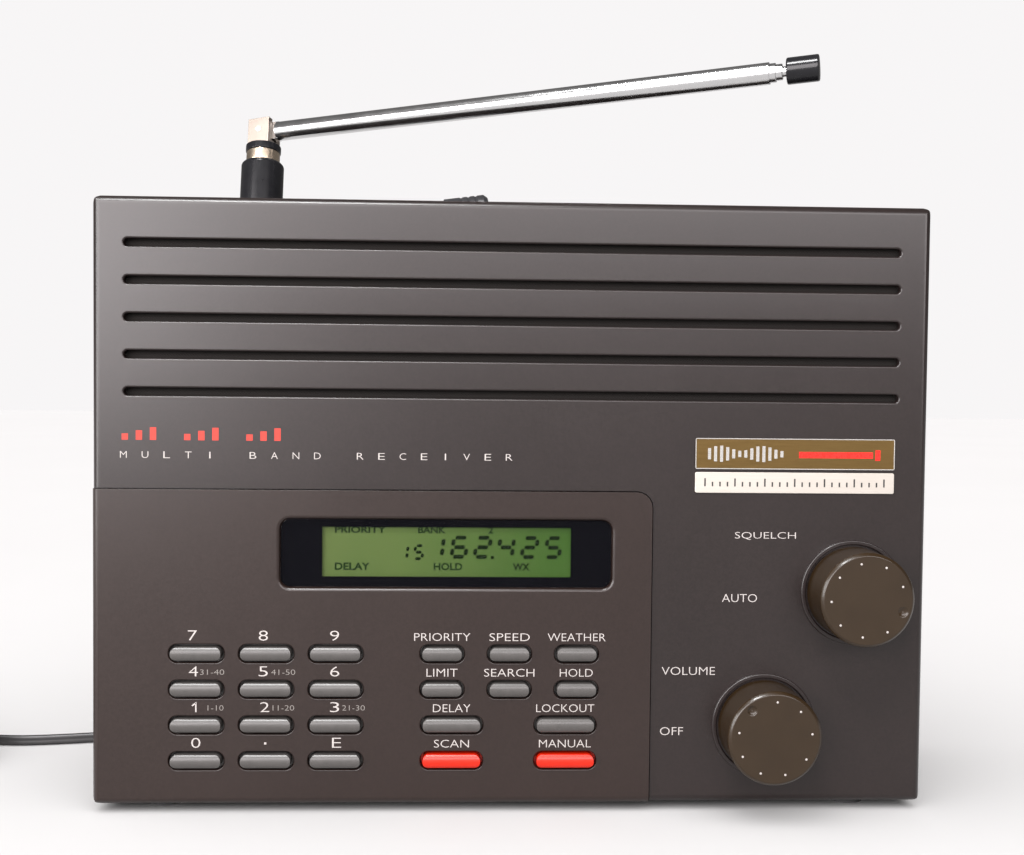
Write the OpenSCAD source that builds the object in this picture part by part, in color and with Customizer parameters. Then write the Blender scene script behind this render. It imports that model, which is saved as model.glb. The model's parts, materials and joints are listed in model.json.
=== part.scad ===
// Desktop scanning receiver: upright case with a speaker grille across the top,
// a raised keypad panel with a display, two control knobs, a swivelling
// telescopic antenna and a power lead with its plug, coil and wall adapter.
// +X is to the right, +Y goes from the front to the back, +Z is up.

/* [Case] */
// Width of the case
body_w = 267; // [250:1:285]
// Height of the case without its feet
body_h = 193; // [190:1:200]
// Depth of the case behind its front face
body_d = 70.5; // [68:0.5:76]
// Thickness of the case walls
wall = 2.5; // [2:0.1:3]
// Corner radius of the front outline
corner_r = 3.3; // [2:0.1:5]
// Radius of the rounded front edge
edge_r = 2.7; // [1.5:0.1:3]
// Backward slope of the top, in degrees
top_slope = 12; // [8:1:12]
// Depth of the front cover, where the back cover starts
split_depth = 30; // [26:1:34]
// Height of the rubber feet
foot_h = 2.5; // [2:0.1:4]

/* [Grille] */
// Number of grille slots
slot_count = 5; // [3:1:5]
// Spacing of the grille slots
slot_pitch = 11.7; // [10:0.1:12]
// Height of one slot
slot_h = 2.5; // [2:0.1:3.5]
// Distance of the first slot from the top
slot_top = 14.75; // [14:0.05:18]
// Bare margin at both ends of a slot
slot_margin = 10; // [9.5:0.5:20]
// Radius of the loudspeaker
speaker_r = 35; // [30:1:35]

/* [Keypad panel] */
// Width of the keypad panel from the left side
panel_w = 177.7; // [175:0.1:178]
// Distance of the panel's upper edge from the top
panel_top = 92.3; // [92:0.1:94]
// How far the panel stands out in front of the face
panel_proud = 1; // [0.6:0.1:1.5]
// Thickness of the panel
panel_t = 3; // [2.6:0.1:3.4]
// Width of the display window
window_w = 105.6; // [90:0.1:106]
// Height of the display window
window_h = 21.8; // [18:0.1:22]

/* [Keys] */
// Spacing of the number key columns
number_pitch = 22; // [21:0.1:22.5]
// Spacing of the small function key columns
function_pitch = 21.5; // [21:0.1:22]
// Spacing of the key rows
row_pitch = 11.45; // [11:0.05:11.5]
// Length of a number key
number_w = 15.8; // [14:0.1:17]
// Length of a small function key
small_w = 12.5; // [11:0.1:13.5]
// Length of a long function key
long_w = 18.3; // [16:0.1:20]
// Height of a key cap
key_h = 4.2; // [4:0.1:5]
// How far a key travels when it is pressed
key_travel = 1.2; // [0.8:0.1:1.2]

/* [Knobs] */
// Diameter of a knob
knob_d = 29.6; // [26:0.2:30]
// Distance from the face to the front of a knob
knob_front = 15.5; // [14:0.5:16]

/* [Antenna] */
// Distance of the antenna from the left side
antenna_u = 43.1; // [40:0.1:60]
// Diameter of the moulded base
boot_d = 15.1; // [14:0.1:16]
// Swivel of the folded antenna towards the front, in degrees
swivel_rest = 21; // [0:1:24]
// Rise of the folded antenna, in degrees
elbow_rest = -2; // [-3:0.5:5]
// Length of the outer tube from its hinge pin
tube_len = 181; // [170:0.2:185]
// How far each section pulls out
tube_travel = 150; // [120:5:150]

/* [Power lead] */
// Width of the lead, two cores side by side
lead_d = 3.8; // [3.6:0.1:3.9]

/* [Hidden] */
$fn = 48;

tiny = 0.01;
big = 400;
fit = 0.05;                       // radial running clearance of turning and sliding parts

// The origin is on the ground, under the middle of the case with its knobs.
face_y = -(body_d - knob_front) / 2;
back_y = face_y + body_d;
top_z = foot_h + body_h;
half_w = body_w / 2;
split_y = face_y + split_depth;

// Keypad panel
panel_back = face_y - panel_proud + panel_t;
panel_x = -half_w + panel_w;
panel_z = top_z - panel_top;
panel_r = 5;
panel_gap = 0.35;
ledge_t = 2.5;
ledge_w = 5;
window_u = 112;
window_top = 112.35;
window_r = 3.2;
window_t = 1.5;

// Key rows and columns, from the left side and from the top
key_row_1 = 144.4;
number_u = 33;
function_u = 110.8;
long_u = [114.0, 150.4];
key_r = 1.9;                      // corners of a cap
key_gap = 0.85;                   // play between a cap and its opening
key_front = 2.7;                  // crest of a cap in front of the face
crown_r = 3;                      // roundness of a cap across its height
flange_t = 1;
flange_rim = 1;
flange_play = 0.2;
mat_front = panel_back + flange_t + key_travel + 2 * flange_play;
board_front = panel_back + 4.5;
board_back = face_y + 47.6;       // main board, behind the loudspeaker

// Knobs and controls: distance from the left side and from the top
volume_at = [214.8, 167.6];
squelch_at = [243.1, 124.2];
collar_r = 16.9;
collar_h = 0.8;
shaft_r = 3;
bushing_r = 4;
knob_face = 2;                    // thickness of a knob's front
hub_r = 5.5;
dimple_at = 11.6;                 // finger dimple from the knob's axis
dimple_r = 1.8;

// Name plates
plate_u = 191.3;
plate_w = 64.6;
plate_t = 0.6;

// Screws that hold the back cover: distance from the left side and from the top
screws_at = [[7, 77], [body_w - 7, 77], [7, body_h - 7], [body_w - 7, body_h - 7]];
post_r = 4.8;
post_end = face_y + 44;
pilot_r = 1.5;
head_r = 3.2;
head_seat = face_y + 50;
lip_reach = 3;

// Openings in the top: distance from the left side, and behind the face
antenna_back = 50.5;
plug_at = [119.5, 45];
jack_at = [165, 48];
socket_r = 4.8;
dc_r = 2.75;
jack_r = 1.8;
jack_len = 14;

// Heights along the leaning antenna axis
shoulder = 32;
collar_top = 36;
knuckle_bottom = 38.6;
knuckle_h = 9.4;
hinge_up = 5.3;                   // hinge pin above the bottom of the knuckle
knuckle_w = 8.4;
spindle_r = 2;
pin_r = 1;
lug_t = 3;
tube_r = [3.4, 2.95, 2.5, 1.6];
bore_r = [tube_r[1] + fit, tube_r[2] + fit, tube_r[3] + fit];
tube_start = 6.6;
tube_hold = 14.5;                 // what stays inside when a section is pulled out
step_out = 2;                     // how far each folded section stands out of the last
cap_r = 4.1;
cap_len = 9.9;

// Power plug: neck height, droop of its body, and reach to the lead
plug_neck = 13;
plug_droop = 8;
plug_r = 5.4;
relief_reach = 30;

// Route of the lead from the plug, down the back and along the ground
route = [[-43.7, 19.3, 195.1], [-51, 19.5, 194], [-58.5, 21.5, 192.7], [-65, 26.5, 191],
    [-69.5, 33.5, 189], [-72.5, 41.5, 185.5], [-74, 48, 178.5], [-74.5, 51, 168.5],
    [-74.5, 51, 156], [-74.5, 50.5, 138], [-74, 49.5, 115], [-74, 49, 90], [-74, 49, 65],
    [-74.5, 49, 42], [-77, 49, 26], [-82, 49.5, 14], [-89.5, 50, 6.5], [-99, 50.5, 2.8],
    [-111, 50.5, 2], [-125, 49.5, 2], [-139, 47.5, 2], [-154, 45.5, 2], [-168, 43, 2],
    [-182, 41.5, 2], [-196, 42.5, 2.1], [-209, 43, 2.3]];
coil_at = [-215, 20];
coil_bottom = 0.4;                // its tie passes under it
coil_r = 21;                      // middle of the turns
coil_columns = 3;
coil_layers = 4;
coil_pitch = 2.1;                 // turn to turn, because the twin lead stands on its edge
coil_step = 3.9;                  // layer to layer
adapter_x = -250;
adapter_y = 41;
adapter_size = [55, 44, 32];
adapter_entry = 14;
adapter_relief = 24;

// Colours
brown = "#3f3936";
dark = "#1b1a1b";
key_grey = "#8d8783";
key_orange = "#f0522a";
metal = "#c9c5bd";
nickel = "#c8b8a8";
board_green = "#2f5d3a";

// --- shared shapes ---

function arc(cx, cy, r, from, to, steps = 5) =
    [for (i = [0:steps]) let (a = from + (to - from) * i / steps) [cx + r * cos(a), cy + r * sin(a)]];

function rounded_box(x0, y0, x1, y1, r) = concat(
    arc(x0 + r, y0 + r, r, 180, 270), arc(x1 - r, y0 + r, r, 270, 360),
    arc(x1 - r, y1 - r, r, 0, 90), arc(x0 + r, y1 - r, r, 90, 180));

// Height of the sloping top at a distance behind the face
function top_at(back) = top_z - (back - edge_r) * tan(top_slope);

// Drawn flat, then stood up on the face: x to the right, y up, thickness towards the front
module on_face(u, down, out = 0)
    translate([u - half_w, face_y - out, top_z - down]) rotate([90, 0, 0]) children();

// Local +Z leaves the sloping top at right angles
module on_top(u, back)
    translate([u - half_w, face_y + back, top_at(back)]) rotate([-top_slope, 0, 0]) children();

// A block between two depths
module between(y0, y1, x0 = -big, x1 = big, z0 = -big, z1 = big)
    translate([x0, y0, z0]) cube([x1 - x0, y1 - y0, z1 - z0]);

// The full outer form of the case, or the same form drawn in on all sides
module case_form(inset = 0) {
    x1 = half_w - inset;
    y0 = face_y + inset;
    y1 = back_y - inset;
    z0 = foot_h + inset;
    z1 = top_z - inset / cos(top_slope);
    round_f = max(edge_r - inset, 0.4);
    round_c = max(corner_r - inset, 0.4);
    round_b = 5 - inset;
    back_top = z1 - (y1 - y0 - round_f) * tan(top_slope);
    intersection() {
        translate([0, y1, 0]) rotate([90, 0, 0]) linear_extrude(y1 - y0)
            polygon(rounded_box(-x1, z0, x1, z1, round_c));
        translate([-x1, 0, 0]) rotate([90, 0, 90]) linear_extrude(2 * x1)
            polygon(concat(arc(y0 + round_f, z0 + round_f, round_f, 270, 180),
                arc(y0 + round_f, z1 - round_f, round_f, 180, 90),
                arc(y1 - round_b, back_top - round_b + 1, round_b, 72, 0),
                arc(y1 - round_b, z0 + round_b, round_b, 0, -90)));
        translate([0, 0, z0]) linear_extrude(z1 - z0)
            polygon(concat(arc(-x1 + round_f, y0 + round_f, round_f, 180, 270),
                arc(x1 - round_f, y0 + round_f, round_f, 270, 360),
                arc(x1 - round_b, y1 - round_b, round_b, 0, 90),
                arc(-x1 + round_b, y1 - round_b, round_b, 90, 180)));
    }
}

// A rectangle with round corners, and the same with fully round ends
module rounded(w, h, r) {
    square([w - 2 * r, h], center = true);
    square([w, h - 2 * r], center = true);
    for (x = [r - w / 2, w / 2 - r], y = [r - h / 2, h / 2 - r]) translate([x, y]) circle(r);
}

module pill(w, h) {
    square([w - h, h], center = true);
    for (side = [-1, 1]) translate([side * (w - h) / 2, 0]) circle(h / 2);
}

// Places of all the keys: children are drawn with $key_w set to that key's length
module each_key() {
    for (row = [0:3]) {
        down = key_row_1 + row * row_pitch;
        for (col = [0:2]) {
            $key_w = number_w;
            on_face(number_u + col * number_pitch, down) children();
        }
        if (row < 2) for (col = [0:2]) {
            $key_w = small_w;
            on_face(function_u + col * function_pitch, down) children();
        } else for (u = long_u) {
            $key_w = long_w;
            on_face(u, down) children();
        }
    }
}

module panel_area(grow) {
    x1 = panel_x + grow;
    z1 = panel_z + grow;
    r = max(panel_r + grow, 1);
    polygon(concat([[-big, -big], [x1, -big]], arc(x1 - r, z1 - r, r, 0, 90), [[-big, z1]]));
}

module panel_block(y0, y1, grow = 0)
    translate([0, y1, 0]) rotate([90, 0, 0]) linear_extrude(y1 - y0) panel_area(grow);

// --- case ---

module front_cover() color(brown) difference() {
    union() {
        intersection() {
            difference() {
                case_form();
                difference() {
                    case_form(wall);
                    // ledge behind the keypad panel, and the posts for the screws
                    panel_block(face_y, panel_back + ledge_t, 2 * panel_gap + 2);
                    for (p = screws_at) on_face(p[0], p[1], -44)
                        cylinder(r = post_r, h = 44 - wall + tiny);
                }
            }
            between(face_y - 1, split_y);
        }
        // the posts go on inside the back cover, clear of its walls
        intersection() {
            case_form(wall + 0.2);
            for (p = screws_at) on_face(p[0], p[1], -44) cylinder(r = post_r, h = 44 - split_depth + 1);
        }
        for (p = [volume_at, squelch_at]) on_face(p[0], p[1]) difference() {
            cylinder(r = collar_r, h = collar_h);
            translate([0, 0, -tiny]) cylinder(r = collar_r - 1.6, h = collar_h + 1);
        }
    }
    panel_block(face_y - 5, panel_back, panel_gap);
    ledge_opening();
    for (i = [0:slot_count - 1]) on_face(half_w, slot_top + i * slot_pitch, -wall - 1)
        linear_extrude(wall + 2) pill(body_w - 2 * slot_margin, slot_h);
    for (p = [volume_at, squelch_at]) on_face(p[0], p[1], -wall - 1) cylinder(r = bushing_r, h = wall + 2);
    for (p = screws_at) on_face(p[0], p[1], -45) cylinder(r = pilot_r, h = 20);
}

// Opening through the ledge, behind the keys and the display
module ledge_opening()
    between(face_y, panel_back + ledge_t + 1, -half_w + ledge_w, panel_x - ledge_w,
        foot_h + ledge_w, panel_z - ledge_w);

module rear_cover() color(brown) difference() {
    union() {
        intersection() {
            difference() {
                case_form();
                difference() {
                    case_form(wall);
                    for (p = screws_at) on_face(p[0], p[1], -body_d)
                        cylinder(r = post_r + 0.4, h = back_y - post_end);
                    for (x = [-100, 100], z = [18, 100]) translate([x, back_y, z])
                        rotate([90, 0, 0]) cylinder(r = 3, h = back_y - board_back);
                }
            }
            between(split_y, back_y + 1);
        }
        // lip that reaches inside the front cover, and the rib that it grows from
        difference() {
            union() {
                intersection() {
                    case_form(wall + 0.1);
                    between(split_y - lip_reach, split_y + 1);
                }
                intersection() {
                    case_form(wall / 2);
                    between(split_y, split_y + 2);
                }
            }
            case_form(wall + 1.4);
            for (p = screws_at) on_face(p[0], p[1], -60) cylinder(r = post_r + 0.3, h = 60);
        }
    }
    for (p = screws_at) {
        on_face(p[0], p[1], -body_d - 1) cylinder(r = pilot_r + 0.3, h = body_d);
        on_face(p[0], p[1], -body_d - 1) cylinder(r = head_r + 0.4, h = back_y + 1 - head_seat);
    }
    on_top(antenna_u, antenna_back) translate([0, 0, -6]) cylinder(r = socket_r, h = 12);
    on_top(plug_at[0], plug_at[1]) translate([0, 0, -6]) cylinder(r = 4.5, h = 12);
    on_top(jack_at[0], jack_at[1]) translate([0, 0, -6]) cylinder(r = 3.4, h = 12);
    for (x = [-60:8:60]) translate([x - 1.2, back_y - wall - 1, 120]) cube([2.4, wall + 2, 32]);
}

module rubber_feet() color(dark)
    for (x = [-112, 112], y = [face_y + 12, back_y - 12]) translate([x, y, 0])
        cylinder(r = 6, h = foot_h);

module case_screws() color(metal)
    for (p = screws_at) on_face(p[0], p[1], face_y - head_seat) {
        cylinder(r = pilot_r, h = 18);
        translate([0, 0, -2.2]) difference() {
            cylinder(r = head_r, h = 2.2);
            for (turn = [0, 90]) rotate([0, 0, turn]) translate([0, 0, 0.4])
                cube([3.6, 0.8, 1.2], center = true);
        }
    }

module speaker_frame() color(metal) on_face(half_w, 40, -3.3) rotate([180, 0, 0]) difference() {
    union() {
        cylinder(r = speaker_r, h = 1.6);
        translate([0, 0, 1.6]) cylinder(r1 = speaker_r - 3, r2 = 17, h = 16);
        translate([0, 0, 17.6]) cylinder(r = 16, h = 10);
    }
    translate([0, 0, -tiny]) cylinder(r = speaker_r - 3.5, h = 1.7);
    translate([0, 0, 1.6]) cylinder(r1 = speaker_r - 4.2, r2 = 15.8, h = 15);
    translate([0, 0, 12]) cylinder(r = 7, h = 12);
}

module speaker_cone() color(dark) on_face(half_w, 40, -3.3) rotate([180, 0, 0]) difference() {
    union() {
        translate([0, 0, 0.3]) cylinder(r = speaker_r - 3.6, h = 1.2);
        translate([0, 0, 1.5]) cylinder(r1 = speaker_r - 5, r2 = 7, h = 13);
        translate([0, 0, 14]) cylinder(r = 6.6, h = 9);
    }
    translate([0, 0, 0.2]) cylinder(r1 = speaker_r - 5.2, r2 = 6, h = 13.4);
    translate([0, 0, 12]) cylinder(r = 6, h = 12);
}

module grille_cloth() color(dark) on_face(half_w, slot_top + 2 * slot_pitch, -wall - 0.7)
    linear_extrude(0.7) square([body_w - 2 * slot_margin + 5, 4 * slot_pitch + 7], center = true);

module badge(down, h, tint) color(tint) on_face(plate_u + plate_w / 2, down + h / 2)
    linear_extrude(plate_t) polygon(rounded_box(-plate_w / 2, -h / 2, plate_w / 2, h / 2, 0.6));

module badge_plate() badge(74.7, 9.9, "#4a3628");

module badge_strip() badge(85.6, 6.7, "#b9b2ad");

// --- keypad, display and boards ---

module keypad_panel() color(brown) difference() {
    intersection() {
        translate([0, -panel_proud, 0]) case_form();
        panel_block(face_y - 5, panel_back);
    }
    each_key() translate([0, 0, -panel_t]) linear_extrude(2 * panel_t)
        rounded($key_w + 2 * key_gap, key_h + 2 * key_gap, key_r + key_gap);
    on_face(window_u, window_top, panel_proud - window_t - 0.3) linear_extrude(panel_t) window_outline();
    on_face(window_u, window_top, -panel_t) linear_extrude(2 * panel_t)
        square([window_w - 6, window_h - 4], center = true);
}

module display_window() color("#20242a") on_face(window_u, window_top, panel_proud - window_t - 0.3)
    linear_extrude(window_t) window_outline(0.1);

module window_outline(play = 0)
    polygon(rounded_box(play - window_w / 2, play - window_h / 2, window_w / 2 - play, window_h / 2 - play,
        window_r - play));

module lcd_glass() color("#7f9a52") translate([window_u - half_w, panel_back, top_z - window_top])
    translate([-48, 0, -11.5]) cube([96, 2.8, 23]);

module key_mat() color("#55565a") difference() {
    between(mat_front, board_front, -half_w + 19, -half_w + 166, top_z - 187, top_z - 138);
    for (x = [-half_w + 93, -half_w + 166], z = [top_z - 138, top_z - 187])
        translate([x, board_front + 1, z]) rotate([90, 0, 0]) cylinder(r = 2, h = 4);
}

module keypad_board() color(board_green)
    between(board_front, board_front + 1.6, -half_w + 13, panel_x - 6, foot_h + 6, panel_z - 7);

module main_board() {
    color(board_green) between(board_back - 1.6, board_back, -108, 108, 12, 112);
    color(metal) between(board_back - 14, board_back - 1.6, -92, -30, 52, 100);
    color(dark) {
        between(board_back - 6, board_back - 1.6, -14, 22, 60, 80);
        between(board_back - 5, board_back - 1.6, 34, 52, 66, 78);
        between(board_back - 5, board_back - 1.6, 66, 84, 30, 42);
    }
    color("steelblue") for (x = [40, 56, 72]) translate([x, board_back - 1.6, 94])
        rotate([90, 0, 0]) cylinder(r = 5, h = 14);
}

// A key: its crowned cap, and the flange that keeps it behind the panel
module key(u, row, w, tint = key_grey) color(tint) on_face(u, key_row_1 + row * row_pitch) {
    stem = panel_back - face_y + flange_play;
    intersection() {
        translate([0, 0, -stem]) linear_extrude(stem + key_front) rounded(w, key_h, key_r);
        translate([0, 0, key_front - crown_r]) union() {
            rotate([0, 90, 0]) cylinder(r = crown_r, h = w, center = true);
            translate([-w / 2, -key_h / 2, -10]) cube([w, key_h, 10]);
        }
    }
    translate([0, 0, -stem - flange_t]) linear_extrude(flange_t)
        rounded(w + 2 * key_gap + 2 * flange_rim, key_h + 2 * key_gap + 2 * flange_rim, key_r);
}

module number_key(col, row) key(number_u + col * number_pitch, row, number_w);

module small_key(col, row) key(function_u + col * function_pitch, row, small_w);

module long_key(col, row, tint = key_grey) key(long_u[col], row, long_w, tint);

// --- knobs and controls ---

// Control body behind the face, with the bushing that its shaft turns in
module control(p) color(metal) on_face(p[0], p[1], 1.5) rotate([180, 0, 0]) difference() {
    union() {
        cylinder(r = bushing_r, h = 1.5 + wall);
        translate([0, 0, 1.5 + wall]) cylinder(r = 8.5, h = 10);
        translate([-7, 6, 1.5 + wall + 2]) cube([14, 6, 1.2]);
    }
    translate([0, 0, -tiny]) cylinder(r = shaft_r + fit, h = 1.5 + wall + 8);
}

module shaft(p) color(metal) on_face(p[0], p[1], 11.5) rotate([180, 0, 0])
    cylinder(r = shaft_r, h = 11.5 + wall + 6);

// Knob with a shallow finger dimple towards the given angle
module knob(p, dimple_angle) color("#46352d") on_face(p[0], p[1], 0.4) difference() {
    depth = knob_front - 0.4;
    union() {
        cylinder(d = knob_d, h = depth - 0.9);
        translate([0, 0, depth - 0.9]) cylinder(r1 = knob_d / 2, r2 = knob_d / 2 - 0.9, h = 0.9);
    }
    translate([0, 0, -tiny]) difference() {
        cylinder(r = knob_d / 2 - 1.8, h = depth - knob_face);
        translate([0, 0, 2]) cylinder(r = hub_r, h = depth);
    }
    translate([0, 0, -tiny]) cylinder(r = shaft_r, h = 11.5 - 0.4 + tiny);
    translate([dimple_at * cos(dimple_angle), dimple_at * sin(dimple_angle), depth + dimple_r * 1.2])
        sphere(r = dimple_r * 1.5);
}

// --- antenna ---

module antenna_socket() color(metal) on_top(antenna_u, antenna_back) difference() {
    union() {
        translate([0, 0, -12]) cylinder(r = socket_r, h = 20);
        cylinder(r = 6, h = 2);
    }
    translate([0, 0, -4]) cylinder(r = 3, h = 13);
}

module antenna_boot() color(dark) on_top(antenna_u, antenna_back) difference() {
    union() {
        translate([0, 0, 0.1]) cylinder(d = boot_d, h = shoulder - 1.1);
        translate([0, 0, shoulder - 1]) cylinder(r1 = boot_d / 2, r2 = boot_d / 2 - 1, h = 1);
        translate([0, 0, -3.5]) cylinder(r = 2.9, h = 5);
    }
    translate([0, 0, 0]) difference() {
        cylinder(r = 6.1, h = 8.5);
        cylinder(r = 2.9, h = 9);
    }
    translate([0, 0, shoulder - 8]) cylinder(r = spindle_r + fit, h = 9);
}

module antenna_ring(bottom, top, r, tint) color(tint) on_top(antenna_u, antenna_back)
    translate([0, 0, bottom]) difference() {
        cylinder(r = r, h = top - bottom);
        translate([0, 0, -1]) cylinder(r = spindle_r + fit, h = top - bottom + 2);
    }

module antenna_collar() antenna_ring(shoulder, collar_top, 5.95, "#c9b48c");

module antenna_washer() antenna_ring(collar_top, knuckle_bottom - fit, 6.25, dark);

// Local X follows the folded antenna, local Z its swivel axis
module swivelled() on_top(antenna_u, antenna_back) rotate([0, 0, -swivel_rest])
    translate([0, 0, knuckle_bottom]) children();

module antenna_knuckle() color(nickel) swivelled() difference() {
    union() {
        translate([-knuckle_w / 2, -knuckle_w / 2, 0]) cube([knuckle_w, knuckle_w, knuckle_h]);
        translate([0, 0, -14]) cylinder(r = spindle_r, h = 14 + 1);
    }
    translate([-3.3, -lug_t / 2 - 0.1, 1.4]) cube([20, lug_t + 0.2, knuckle_h]);
    translate([0, 0, hinge_up]) rotate([90, 0, 0]) cylinder(r = pin_r, h = 20, center = true);
}

module knuckle_pin() color(metal) swivelled() translate([0, 0, hinge_up]) rotate([90, 0, 0])
    cylinder(r = pin_r, h = knuckle_w - 0.1, center = true);

// Local Z runs along the folded antenna, from its hinge pin
module along_antenna() swivelled() translate([0, 0, hinge_up]) rotate([0, 90 - elbow_rest, 0]) children();

// Hidden end of a folded section, numbered outwards from the outer tube
function inner_end(i) = tube_len + i * step_out - tube_travel - tube_hold;

module tube(i, from, to) translate([0, 0, from]) difference() {
    cylinder(r = tube_r[i], h = to - from);
    translate([0, 0, -tiny]) cylinder(r = bore_r[i], h = to - from + 1);
}

module antenna_tube_1() color(metal) along_antenna() {
    tube(0, tube_start, tube_len);
    difference() {
        union() {
            translate([0, 0, tube_start - 0.6]) cylinder(r = tube_r[0], h = 8);
            rotate([90, 0, 0]) cylinder(r = 3.2, h = lug_t, center = true);
            translate([-3.2, -lug_t / 2, 0]) cube([6.4, lug_t, tube_start]);
        }
        rotate([90, 0, 0]) cylinder(r = pin_r + fit, h = 10, center = true);
    }
}

module antenna_tube_2() color(metal) along_antenna() tube(1, inner_end(1), tube_len + step_out);

module antenna_tube_3() color(metal) along_antenna() tube(2, inner_end(2), tube_len + 2 * step_out);

module antenna_rod() color(metal) along_antenna() translate([0, 0, inner_end(3)])
    cylinder(r = tube_r[3], h = tube_len + 9 - inner_end(3));

module antenna_cap() color(dark) along_antenna() translate([0, 0, tube_len + 5.3]) difference() {
    cylinder(r = cap_r, h = cap_len);
    translate([0, 0, -tiny]) cylinder(r = tube_r[3], h = 3.7 + tiny);
}

// --- sockets and power lead ---

module speaker_jack() color(dark) on_top(jack_at[0], jack_at[1]) difference() {
    union() {
        translate([-5, -5, -wall - 13]) cube([10, 10, 13]);
        translate([0, 0, -wall - 1]) cylinder(r = 3.4, h = wall + 1.8);
    }
    translate([0, 0, 0.8 - jack_len]) cylinder(r = jack_r, h = jack_len + 1);
}

module dc_socket() color(dark) on_top(plug_at[0], plug_at[1]) difference() {
    union() {
        translate([-5.5, -5.5, -wall - 11]) cube([11, 11, 11]);
        translate([0, 0, -wall - 1]) cylinder(r = 4.5, h = wall + 1.4);
    }
    translate([0, 0, -9.5]) cylinder(r = dc_r, h = 12);
}

// Right-angle plug: metal barrel in the socket, moulded body and tapered strain relief
module dc_plug() color(dark) on_top(plug_at[0], plug_at[1]) {
    translate([0, 0, -9]) cylinder(r = dc_r, h = 10);
    translate([0, 0, 0.5]) cylinder(r = 4.6, h = plug_neck - 0.5);
    translate([0, 0, plug_neck]) rotate([0, -90 - plug_droop, 0]) {
        translate([0, 0, -5.6]) cylinder(r1 = plug_r - 1.2, r2 = plug_r, h = 1.4);
        translate([0, 0, -4.2]) cylinder(r = plug_r, h = 14.2);
        translate([0, 0, 10]) cylinder(r1 = plug_r - 0.6, r2 = lead_d / 2 + 0.5, h = relief_reach - 10);
    }
}

// One ring of the swept lead, square to the line through its two neighbours
function ring(p, before, after, sides = 8) =
    let (d = after - before, t = d / norm(d),
        side = abs(t[2]) > 0.9 ? cross([1, 0, 0], t) : cross([0, 0, 1], t),
        a = side / norm(side), b = cross(t, a))
    [for (k = [0:sides - 1]) p + lead_d / 2 * (a * cos(360 * k / sides) + b * sin(360 * k / sides))];

function along(points, s) =          // Catmull-Rom point at s spans from the start
    let (n = len(points) - 1, i = min(floor(s), n - 1), f = s - i,
        a = points[max(i - 1, 0)], b = points[i], c = points[i + 1], d = points[min(i + 2, n)])
    0.5 * (2 * b + (c - a) * f + (2 * a - 5 * b + 4 * c - d) * f * f + (3 * b - a - 3 * c + d) * f * f * f);

module power_lead() color(dark) {
    per_span = 2;
    count = (len(route) - 1) * per_span;
    line = [for (i = [0:count]) along(route, i / per_span)];
    rings = [for (i = [0:count]) each ring(line[i], line[max(i - 1, 0)], line[min(i + 1, count)])];
    sides = 8;
    polyhedron(points = rings, faces = concat(
        [[for (k = [0:sides - 1]) k]],
        [for (i = [0:count - 1], k = [0:sides - 1]) let (a = i * sides + k, b = i * sides + (k + 1) % sides)
            [a, a + sides, b + sides, b]],
        [[for (k = [sides - 1:-1:0]) count * sides + k]]));
}

module lead_coil() color(dark) translate([coil_at[0], coil_at[1], coil_bottom]) rotate_extrude($fn = 72)
    translate([coil_r - coil_columns * coil_pitch / 2, 0])
        square([coil_columns * coil_pitch, coil_layers * coil_step]);

module wall_adapter() color(dark) {
    translate([adapter_x - adapter_size[0], adapter_y - adapter_size[1] / 2, 0]) cube(adapter_size);
    translate([adapter_x, adapter_y, adapter_entry]) rotate([0, 90, 0])
        cylinder(r1 = 4, r2 = lead_d / 2 + 0.4, h = adapter_relief);
    for (side = [-1, 1]) translate([adapter_x - adapter_size[0] / 2 - 3.15,
        adapter_y + side * 6.35 - 0.75, adapter_size[2]]) cube([6.3, 1.5, 17]);
}

front_cover();
keypad_panel();
rear_cover();
display_window();
lcd_glass();
key_mat();
keypad_board();
main_board();
speaker_frame();
speaker_cone();
grille_cloth();
control(volume_at);  // volume_control
control(squelch_at);  // squelch_control
badge_plate();
badge_strip();
antenna_socket();
speaker_jack();
dc_socket();
rubber_feet();
case_screws();
antenna_boot();
antenna_collar();
antenna_washer();
antenna_knuckle();
knuckle_pin();
antenna_tube_1();
antenna_tube_2();
antenna_tube_3();
antenna_rod();
antenna_cap();
knob(volume_at, 129.7);  // volume_knob
shaft(volume_at);  // volume_shaft
knob(squelch_at, -17.7);  // squelch_knob
shaft(squelch_at);  // squelch_shaft
number_key(0, 0);  // key_7
number_key(1, 0);  // key_8
number_key(2, 0);  // key_9
number_key(0, 1);  // key_4
number_key(1, 1);  // key_5
number_key(2, 1);  // key_6
number_key(0, 2);  // key_1
number_key(1, 2);  // key_2
number_key(2, 2);  // key_3
number_key(0, 3);  // key_0
number_key(1, 3);  // key_point
number_key(2, 3);  // key_enter
small_key(0, 0);  // key_priority
small_key(1, 0);  // key_speed
small_key(2, 0);  // key_weather
small_key(0, 1);  // key_limit
small_key(1, 1);  // key_search
small_key(2, 1);  // key_hold
long_key(0, 2);  // key_delay
long_key(1, 2);  // key_lockout
long_key(0, 3, key_orange);  // key_scan
long_key(1, 3, key_orange);  // key_manual
dc_plug();
power_lead();
lead_coil();
wall_adapter();
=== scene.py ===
import json
import math

import bmesh
import bpy
from mathutils import Matrix, Vector

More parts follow.
